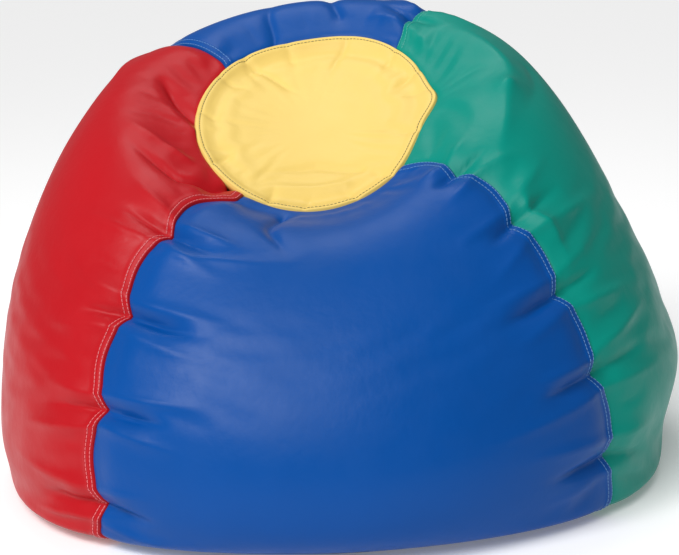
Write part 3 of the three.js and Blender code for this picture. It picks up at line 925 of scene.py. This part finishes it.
@lru_cache(maxsize=None)
def woven_tape():
    """Polyester zip tape, woven in a fine herringbone: dull, with ribs along its length."""
    material, tree, place, end = new_material("woven_polyester_tape")
    shade = tuple(colours().tape)
    # Ribs 0.8 mm apart, drawn a little coarser than real ones so that they show
    ribs = add_node(
        tree, "ShaderNodeTexWave", {"Vector": place, "Scale": 390, "Distortion": 0.3}, bands_direction="Y"
    )
    weft = add_node(
        tree, "ShaderNodeTexWave", {"Vector": place, "Scale": 520, "Distortion": 0.5}, bands_direction="X"
    )
    both = add_node(
        tree, "ShaderNodeMath", {0: ribs.outputs["Fac"], 1: weft.outputs["Fac"]}, operation="MULTIPLY"
    )
    # The tape is painted darker where the weave's bump is low, between the ribs and the weft: painted shade
    darker = (*[c * 0.6 for c in shade[:3]], 1)
    base = add_node(
        tree, "ShaderNodeMix", {"Factor": both.outputs[0], "A": darker, "B": shade}, data_type="RGBA"
    )
    raised = add_node(
        tree, "ShaderNodeBump", {"Height": both.outputs[0], "Strength": 0.6, "Distance": 0.0003}
    )
    surface = add_node(
        tree, "ShaderNodeBsdfPrincipled",
        {"Base Color": base.outputs[2], "Roughness": 0.8, "Normal": raised.outputs["Normal"]},
    )
    tree.links.new(surface.outputs["BSDF"], end.inputs["Surface"])
    return material


@lru_cache(maxsize=None)
def drawn_monofilament():
    """Polyester monofilament, drawn and heat set into a coil: a hard, glossy plastic."""
    material, tree, place, end = new_material("drawn_polyester_monofilament")
    shade = tuple(colours().tape)
    drawn = add_node(tree, "ShaderNodeTexNoise", {"Vector": place, "Scale": 1500, "Detail": 2})
    rough = add_node(
        tree, "ShaderNodeMapRange", {"Value": drawn.outputs["Fac"], "To Min": 0.25, "To Max": 0.4}
    )
    surface = add_node(
        tree, "ShaderNodeBsdfPrincipled",
        {"Base Color": shade, "Roughness": rough.outputs["Result"], "IOR": 1.57},
    )
    tree.links.new(surface.outputs["BSDF"], end.inputs["Surface"])
    return material


@lru_cache(maxsize=None)
def tumbled_zinc():
    """Zinc alloy, die cast and tumbled, then nickel plated: a satin grey with fine dents."""
    material, tree, place, end = new_material("tumbled_zinc_alloy")
    dents = add_node(tree, "ShaderNodeTexNoise", {"Vector": place, "Scale": 1800, "Detail": 3})
    rough = add_node(
        tree, "ShaderNodeMapRange", {"Value": dents.outputs["Fac"], "To Min": 0.28, "To Max": 0.45}
    )
    raised = add_node(
        tree, "ShaderNodeBump", {"Height": dents.outputs["Fac"], "Strength": 0.3, "Distance": 0.0001}
    )
    surface = add_node(
        tree, "ShaderNodeBsdfPrincipled",
        {
            "Base Color": from_hex("B9BBBE"), "Metallic": 1.0, "Roughness": rough.outputs["Result"],
            "Normal": raised.outputs["Normal"],
        },
    )
    tree.links.new(surface.outputs["BSDF"], end.inputs["Surface"])
    return material


# Pieces --------------------------------------------------------------------------------------


class Maker(bpy.types.Operator):
    """What the operators share: each one makes its pieces in execute and ends by counting them"""

    bl_options = {"REGISTER", "UNDO"}

    def done(self, made):
        self.report({"INFO"}, f"{self.bl_label}: {len(made)} pieces")
        return {"FINISHED"}


class BEANBAG_OT_gores(Maker):
    """Makes the four side gores of the cover, in coated vinyl"""

    bl_idname = "beanbag.gores"
    bl_label = "Side Gores"

    def execute(self, context):
        return self.done([self.gore(k, name) for k, name in enumerate(GORES)])

    def gore(self, k, name):
        shade = GORE_COLOURS[name]
        grid = gore_grid(k)
        mesh = grid_mesh(f"{name}_gore", grid)
        material = coated_vinyl(f"{shade}_cast_vinyl", shade)
        piece = add_piece(f"{name}_gore", mesh, material, "bag", [f"{name}_panel"])
        thicken(piece, sizes().vinyl)
        return piece


class BEANBAG_OT_cap(Maker):
    """Makes the dished cap on top, with its folded edge standing a little above the gores"""

    bl_idname = "beanbag.cap"
    bl_label = "Cap"

    def execute(self, context):
        grid = cap_grid()
        mesh = grid_mesh("cap", grid[:, ::-1], wrapped=True)
        material = coated_vinyl("yellow_cast_vinyl", "yellow")
        piece = add_piece("cap", mesh, material, "bag", ["top_cap"])
        thicken(piece, sizes().vinyl)
        return self.done([piece])


def base_grid(side, columns=160, rows=90):
    """One half of the base: from its folded edge at the zip out to its seam with the gores. side is
    -1 for the front half and 1 for the rear half. It arches over the zip and lies flat elsewhere."""
    zip_sizes = bpy.context.scene.beanbag_zip
    edge = zip_sizes.slot / 2
    turns = np.linspace(math.pi - 0.001, 0.001, columns)
    rim = outline().side(side * turns, np.zeros(columns))
    # The two halves meet beyond the ends of the zip
    parted = 0.15 * MM + edge * smooth(zip_sizes.half + 6 * MM, zip_sizes.half, np.abs(rim[:, 0]))
    inner = np.stack([rim[:, 0] * (1 - 2 * MM), side * parted], -1)
    share = np.linspace(0, 1, rows) ** 1.3
    flat = inner[None] + (rim[None, :, :2] - inner[None]) * share[:, None, None]
    x, y = flat[..., 0], flat[..., 1]
    height = base_arch(x, y)
    # Shallow ripples run out from the ends of the zip, where the arch comes down
    ends = np.exp(-(((np.abs(x) - zip_sizes.half) / (40 * MM)) ** 2)) * smooth(0.4, 0.05, np.abs(y) / 0.2)
    height += 0.8 * MM * ends * (1 + np.sin(y / (9 * MM)))
    height += 1.2 * MM * np.exp(-(1 - share[:, None]) / 0.03)
    first = np.dstack([flat, height])
    lip = first[:1] + np.array([0, 0, 5 * MM])
    skirt = first[-1:] * np.array([0.995, 0.995, 1]) + np.array([0, 0, 5 * MM])
    return np.concatenate([lip, first, skirt])


def base_arch(x, y):
    """Height of the underside over the floor."""
    zip_sizes = bpy.context.scene.beanbag_zip
    across = 1 - smooth(zip_sizes.level / 2, zip_sizes.foot / 2, np.abs(y))
    return zip_sizes.rise * across * (1 - smooth(zip_sizes.half, zip_sizes.half + 38 * MM, np.abs(x)))


class BEANBAG_OT_base(Maker):
    """Makes the two halves of the base, which arch over the floor along the zip between them"""

    bl_idname = "beanbag.base"
    bl_label = "Base"

    def execute(self, context):
        return self.done([self.half("front", -1), self.half("rear", 1)])

    def half(self, name, side):
        grid = base_grid(side)
        # Seen from below, the columns run one way for the front half and the other for the rear
        mesh = grid_mesh(f"base_{name}_half", grid if side < 0 else grid[:, ::-1])
        material = coated_vinyl("blue_cast_vinyl", "blue")
        nodes = [f"base_panel_{name}"]
        piece = add_piece(f"base_{name}_half", mesh, material, "bag", nodes)
        thicken(piece, sizes().vinyl)
        return piece


class BEANBAG_OT_topstitching(Maker):
    """Sews the topstitching, stitch by stitch: two rows beside each seam of the gores, one round the
    cap and one beside each edge of the zip"""

    bl_idname = "beanbag.topstitching"
    bl_label = "Topstitching"

    def execute(self, context):
        stitch = stitches()
        made = []
        for k, seam in enumerate(SEAMS):
            shade = GORE_COLOURS[GORES[k]]
            material = spun_thread(f"{shade}_spun_polyester", f"{shade}_thread")
            for row, distance in ((1, stitch.far_row), (2, stitch.near_row)):
                line, normals = self.seam_row(k, distance)
                name = f"{seam}_stitches_{row}"
                mesh = stitch_mesh(name, line, normals)
                made.append(add_piece(name, mesh, material, "bag", [f"{seam}_topstitch_{row}"]))
        made.append(self.cap_row())
        made += [self.zip_row("front", -1), self.zip_row("rear", 1)]
        return self.done(made)

    def seam_row(self, k, distance):
        t = np.linspace(8 * MM / side_lengths()[1].max(), 1 - 4 * MM / side_lengths()[1].max(), 900)
        end = gore_ends(k, t)[1]
        points = outline().side(end, t)
        azimuths = end - distance / np.hypot(points[:, 0], points[:, 1])
        return gore_surface(k, azimuths, t)

    def cap_row(self):
        azimuths = np.linspace(0, TAU, 900)
        rim = outline().cap(azimuths, np.ones(900))
        middle = outline().cap(azimuths, np.zeros(900))
        share = 1 - stitches().cap_row / np.linalg.norm(rim - middle, axis=1)
        line, normals = cap_surface(azimuths, share)
        material = spun_thread("olive_spun_polyester", "olive_thread")
        mesh = stitch_mesh("cap_stitches", line, normals)
        return add_piece("cap_stitches", mesh, material, "bag", ["cap_topstitch"])

    def zip_row(self, name, side):
        zip_sizes = bpy.context.scene.beanbag_zip
        x = np.linspace(-zip_sizes.half, zip_sizes.half, 400)
        y = np.full(400, side * (zip_sizes.slot / 2 + zip_sizes.row))
        line = np.stack([x, y, base_arch(x, y)], -1)
        material = spun_thread("blue_spun_polyester", "blue_thread")
        mesh = stitch_mesh(f"zip_stitches_{name}", line, np.broadcast_to(-UP, line.shape))
        nodes = [f"base_zip_stitch_{name}"]
        return add_piece(f"zip_stitches_{name}", mesh, material, "bag", nodes)


class ZipSizes(bpy.types.PropertyGroup):
    """Sizes of the coil zip in the base"""

    half: length("Half Length", "From the middle of the zip to its end", 310 * MM)
    slot: length("Slot", "Width between the folded edges of the base", 7.9 * MM)
    rise: length("Rise", "Height of the base over the floor along the zip", 8 * MM)
    level: length("Level Strip", "Width of the level strip along the zip", 35.3 * MM)
    foot: length("Foot", "Width of the arch where it meets the floor", 141.3 * MM)
    row: length("Stitch Row", "From the folded edge to its row of stitches", 4 * MM)
    coil: length("Coil", "Width of one coil", 2.0 * MM)
    pitch: length("Coil Pitch", "From one turn of the coil to the next", 1.3 * MM)


def box_mesh(name, low, high, rounding):
    """A box with rounded edges."""
    form = bmesh.new()
    bmesh.ops.create_cube(form, size=1)
    middle, size = (Vector(low) + Vector(high)) / 2, Vector(high) - Vector(low)
    for vertex in form.verts:
        vertex.co = Vector(a * b for a, b in zip(vertex.co, size)) + middle
    bmesh.ops.bevel(form, geom=form.edges, offset=rounding, segments=3, affect="EDGES", profile=0.5)
    mesh = bpy.data.meshes.new(name)
    form.to_mesh(mesh)
    form.free()
    return mesh


def tube(points, radius, corners=6):
    """Vertices and faces of a closed-ended tube along a line of points."""
    points = np.asarray(points)
    ahead = unit(np.gradient(points, axis=0))
    across = unit(np.cross(ahead, UP + 1e-3))
    out = np.cross(across, ahead)
    turns = TAU * np.arange(corners) / corners
    rings = points[:, None] + radius * (
        np.sin(turns)[None, :, None] * across[:, None] + np.cos(turns)[None, :, None] * out[:, None]
    )
    faces = []
    for ring in range(len(points) - 1):
        for corner in range(corners):
            a, b = ring * corners + corner, ring * corners + (corner + 1) % corners
            faces.append((a, b, b + corners, a + corners))
    last = (len(points) - 1) * corners
    faces.append(tuple(reversed(range(corners))))
    faces.append(tuple(last + c for c in range(corners)))
    return rings.reshape(-1, 3).tolist(), faces


class BEANBAG_OT_zip(Maker):
    """Makes the coil zip: two woven tapes, two coils, three stops and the slider without a pull"""

    bl_idname = "beanbag.zip"
    bl_label = "Zip"

    def execute(self, context):
        made = []
        for name in ("front", "rear"):
            made += [self.tape(name), self.coil(name), self.stop(f"zip_top_stop_{name}")]
        return self.done(made + [self.stop("zip_bottom_stop"), self.slider()])

    def tape(self, name):
        node = f"zip_tape_{name}"
        low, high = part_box(node)
        x = np.linspace(low.x, high.x, 260)
        y = np.linspace(low.y, high.y, 9)
        grid = np.stack(np.meshgrid(x, y), -1)
        height = high.z - 0.05 * MM * (1 + np.sin(grid[..., 0] / (7 * MM)))
        mesh = grid_mesh(f"tape_{name}", np.dstack([grid, height]))
        piece = add_piece(f"tape_{name}", mesh, woven_tape(), "bag", [node])
        thicken(piece, high.z - low.z)
        return piece

    def coil(self, name):
        zip_sizes = bpy.context.scene.beanbag_zip
        node = f"zip_coil_{name}"
        low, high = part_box(node)
        wire = 0.28 * MM
        turns = int((high.x - low.x - 2 * wire) / zip_sizes.pitch)
        turn = np.linspace(0, TAU * turns, turns * 8)
        x = low.x + wire + (high.x - low.x - 2 * wire) * turn / turn[-1]
        y = (low.y + high.y) / 2 + ((high.y - low.y) / 2 - wire) * np.cos(turn)
        z = (low.z + high.z) / 2 + ((high.z - low.z) / 2 - wire) * np.sin(turn)
        vertices, faces = tube(np.stack([x, y, z], -1), wire, 5)
        mesh = bpy.data.meshes.new(f"coil_{name}")
        mesh.from_pydata(vertices, [], faces)
        return add_piece(f"coil_{name}", mesh, drawn_monofilament(), "bag", [node])

    def stop(self, node):
        low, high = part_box(node)
        mesh = box_mesh(node + "_clip", low, high, 0.35 * MM)
        return add_piece(node + "_clip", mesh, tumbled_zinc(), "bag", [node])

    def slider(self):
        material = tumbled_zinc()
        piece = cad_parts["zip_slider"]
        piece.data.materials.clear()
        piece.data.materials.append(material)
        return [piece]


def cast_grid(node, grid, upwards=True):
    """Sets a grid of places on the underside, or the top, of a CAD piece."""
    tree, _ = cad_tree([node])
    way = Vector((0, 0, 1 if upwards else -1))
    heights = np.zeros(grid.shape[:2])
    for i, row in enumerate(grid):
        for j, (x, y) in enumerate(row):
            hit = tree.ray_cast(Vector((x, y, -1 if upwards else 2)), way, 3)[0]
            heights[i, j] = heights[i, j - 1] if hit is None else hit.z
    return np.dstack([grid, heights])


LINER_INSET = 8 * MM  # from the outside of the cover
LINER_FACET = 12 * MM
LINER_FILM = 0.6 * MM
FILL_INSET = 20 * MM  # from the outside of the cover
FILL_LIFT = 6 * MM  # over the arch of the base


class BEANBAG_OT_liner(Maker):
    """Makes the liner inside the cover: four gores, a top and a base of thin nonwoven"""

    bl_idname = "beanbag.liner"
    bl_label = "Liner"

    def execute(self, context):
        made = []
        for k, name in enumerate(GORES):
            grid = gore_grid(k, LINER_INSET, LINER_FACET)
            made.append(self.sheet(f"liner_{name}_gore", grid, f"liner_{name}_panel"))
        grid = cap_grid(LINER_INSET, LINER_FACET)
        made.append(self.round_sheet("liner_cap", grid, "liner_top"))
        low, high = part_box("liner_base")
        reach = (high.x - low.x) / 2
        turns, shares = np.linspace(0, TAU, 120, endpoint=False), np.linspace(0, 0.995, 50)
        flat = np.stack([np.outer(shares, np.cos(turns)), np.outer(shares, -np.sin(turns))], -1) * reach
        made.append(self.round_sheet("liner_bottom", cast_grid("liner_base", flat), "liner_base"))
        return self.done(made)

    def sheet(self, name, grid, node, wrapped=False):
        mesh = grid_mesh(name, grid, wrapped)
        piece = add_piece(name, mesh, bonded_nonwoven(), "bag", [node])
        thicken(piece, LINER_FILM)
        return piece

    def round_sheet(self, name, grid, node):
        piece = self.sheet(name, grid, node, wrapped=True)
        return piece


class BEANBAG_OT_fill(Maker):
    """Makes the filling: foam beads that take the shape of the liner around them"""

    bl_idname = "beanbag.fill"
    bl_label = "Bead Filling"

    def execute(self, context):
        bag = outline()
        azimuths = np.linspace(0, TAU, 240, endpoint=False)
        t = np.linspace(0, 1, 90)
        azimuth, height = np.meshgrid(azimuths, t)
        side = bag.side(azimuth, height) - bag.side_normal(azimuth, height) * FILL_INSET
        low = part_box("bead_fill")[0]
        side[..., 2] = np.maximum(side[..., 2], low.z)
        share = np.linspace(1, 0, 30)[1:]
        azimuth, inward = np.meshgrid(azimuths, share)
        floor = side[:1] * inward[::-1, :, None]
        floor[..., 2] = np.maximum(low.z, base_arch(floor[..., 0], floor[..., 1]) + FILL_LIFT)
        top, _ = cap_surface(azimuth, inward, inset=FILL_INSET)
        rings = np.concatenate([floor, side, top])
        rings += bead_lumps(rings)[..., None] * unit(rings - np.array([0, 0, 0.25]))
        mesh = grid_mesh("foam_beads", rings, wrapped=True)
        piece = add_piece("foam_beads", mesh, foam_beads(), "bag", ["bead_fill"])
        return self.done([piece])


def bead_lumps(points):
    """A low, even unevenness the size of a bead."""
    x, y, z = np.moveaxis(points / (3.1 * MM), -1, 0)
    return 0.5 * MM * (np.sin(x + 0.7 * z) * np.sin(y - 0.4 * z) * np.cos(z) - 1)


# Studio --------------------------------------------------------------------------------------


class BEANBAG_OT_studio(Maker):
    """Sets up the pale floor, the soft lights and the camera"""

    bl_idname = "beanbag.studio"
    bl_label = "Studio"

    def execute(self, context):
        floor = self.floor()
        made = [floor]
        for name, place, aim, size, power in (
            ("key_light", (-1.7, -1.7, 2.4), (0, 0, 0.25), 0.9, 26),
            ("top_light", (-0.2, 0.9, 2.6), (0, 0, 0.2), 1.2, 12),
        ):
            made.append(self.light(name, place, aim, size, power))
        made.append(self.sky_light())
        self.world()
        self.camera()
        bpy.context.scene.view_settings.view_transform = "Standard"
        return self.done(made)

    def floor(self):
        turns = np.linspace(0, TAU, 96, endpoint=False)
        shares = np.linspace(0, 1, 40)
        reach = 9  # metres, past what the camera sees
        flat = reach * np.stack([np.outer(shares, np.cos(turns)), np.outer(shares, np.sin(turns))], -1)
        mesh = grid_mesh("floor", np.dstack([flat, np.zeros(flat.shape[:2])])[::-1], wrapped=True)
        floor = bpy.data.objects.new("floor", mesh)
        bpy.context.scene.collection.objects.link(floor)
        material, tree, place, end = new_material("white_seamless_paper")
        fibres = add_node(tree, "ShaderNodeTexNoise", {"Vector": place, "Scale": 300, "Detail": 3})
        rough = add_node(
            tree, "ShaderNodeMapRange", {"Value": fibres.outputs["Fac"], "To Min": 0.75, "To Max": 0.85}
        )
        surface = add_node(
            tree, "ShaderNodeBsdfPrincipled",
            {
                "Base Color": from_hex("F7F7F7"), "Roughness": rough.outputs["Result"],
                "Emission Color": (1, 1, 1, 1), "Emission Strength": 0.16,
            },
        )
        tree.links.new(surface.outputs["BSDF"], end.inputs["Surface"])
        mesh.materials.append(material)
        return floor

    def light(self, name, place, aim, size, power):
        data = bpy.data.lights.new(name, "AREA")
        data.shape = "DISK"
        data.size = size
        data.energy = power
        lamp = bpy.data.objects.new(name, data)
        lamp.location = place
        lamp.rotation_euler = (Vector(aim) - Vector(place)).to_track_quat("-Z", "Y").to_euler()
        bpy.context.scene.collection.objects.link(lamp)
        return lamp

    def sky_light(self):
        """A wide, even light from the front and the left, as from a large diffuser."""
        data = bpy.data.lights.new("wide_light", "SUN")
        data.angle = math.radians(50)
        data.energy = 2.3
        lamp = bpy.data.objects.new("wide_light", data)
        lamp.rotation_euler = Vector((0.45, 0.75, -1)).to_track_quat("-Z", "Y").to_euler()
        bpy.context.scene.collection.objects.link(lamp)
        return lamp

    def world(self):
        world = bpy.data.worlds.new("studio_world")
        bpy.context.scene.world = world
        world.use_nodes = True
        background = world.node_tree.nodes["Background"]
        background.inputs["Color"].default_value = (1, 1, 1, 1)
        background.inputs["Strength"].default_value = 0.22

    def camera(self):
        data = bpy.data.cameras.new("camera")
        data.lens = 102.3
        data.sensor_width = 36
        camera = bpy.data.objects.new("camera", data)
        bpy.context.scene.collection.objects.link(camera)
        lift, tilt = math.radians(13), math.radians(-2.2)
        distance = 2.6
        middle, aim = Vector((0, 0, 0.27)), Vector((0.016, 0, 0.251))
        position = middle + distance * Vector((0, -math.cos(lift), math.sin(lift)))
        back = (position - aim).normalized()
        right = Vector(UP).cross(back).normalized()
        up = back.cross(right)
        right, up = (
            right * math.cos(tilt) + up * math.sin(tilt),
            up * math.cos(tilt) - right * math.sin(tilt),
        )
        turn = Matrix((right, up, back)).transposed()
        camera.matrix_world = Matrix.Translation(position) @ turn.to_4x4()
        bpy.context.scene.camera = camera


# The add-on ----------------------------------------------------------------------------------

STEPS = (
    BEANBAG_OT_gores,
    BEANBAG_OT_cap,
    BEANBAG_OT_base,
    BEANBAG_OT_topstitching,
    BEANBAG_OT_zip,
    BEANBAG_OT_liner,
    BEANBAG_OT_fill,
    BEANBAG_OT_studio,
)


class BEANBAG_PT_steps(bpy.types.Panel):
    """Lists the steps in the order in which they make the chair"""

    bl_idname = "BEANBAG_PT_steps"
    bl_label = "Bean Bag Chair"
    bl_space_type = "VIEW_3D"
    bl_region_type = "UI"
    bl_category = "Bean Bag"

    def draw(self, context):
        for step in STEPS:
            self.layout.operator(step.bl_idname)


GROUPS = {
    "beanbag_cover": CoverSizes,
    "beanbag_stitches": StitchSizes,
    "beanbag_colours": Colours,
    "beanbag_zip": ZipSizes,
}


def register():
    for group in GROUPS.values():
        bpy.utils.register_class(group)
    for name, group in GROUPS.items():
        setattr(bpy.types.Scene, name, PointerProperty(type=group))
    for step in (*STEPS, BEANBAG_PT_steps):
        bpy.utils.register_class(step)


def unregister():
    for step in (BEANBAG_PT_steps, *reversed(STEPS)):
        bpy.utils.unregister_class(step)
    for name in GROUPS:
        delattr(bpy.types.Scene, name)
    for group in reversed(GROUPS.values()):
        bpy.utils.unregister_class(group)


def main():
    register()
    for step in STEPS:
        group, name = step.bl_idname.split(".")
        getattr(getattr(bpy.ops, group), name)()


if __name__ == "__main__":
    main()
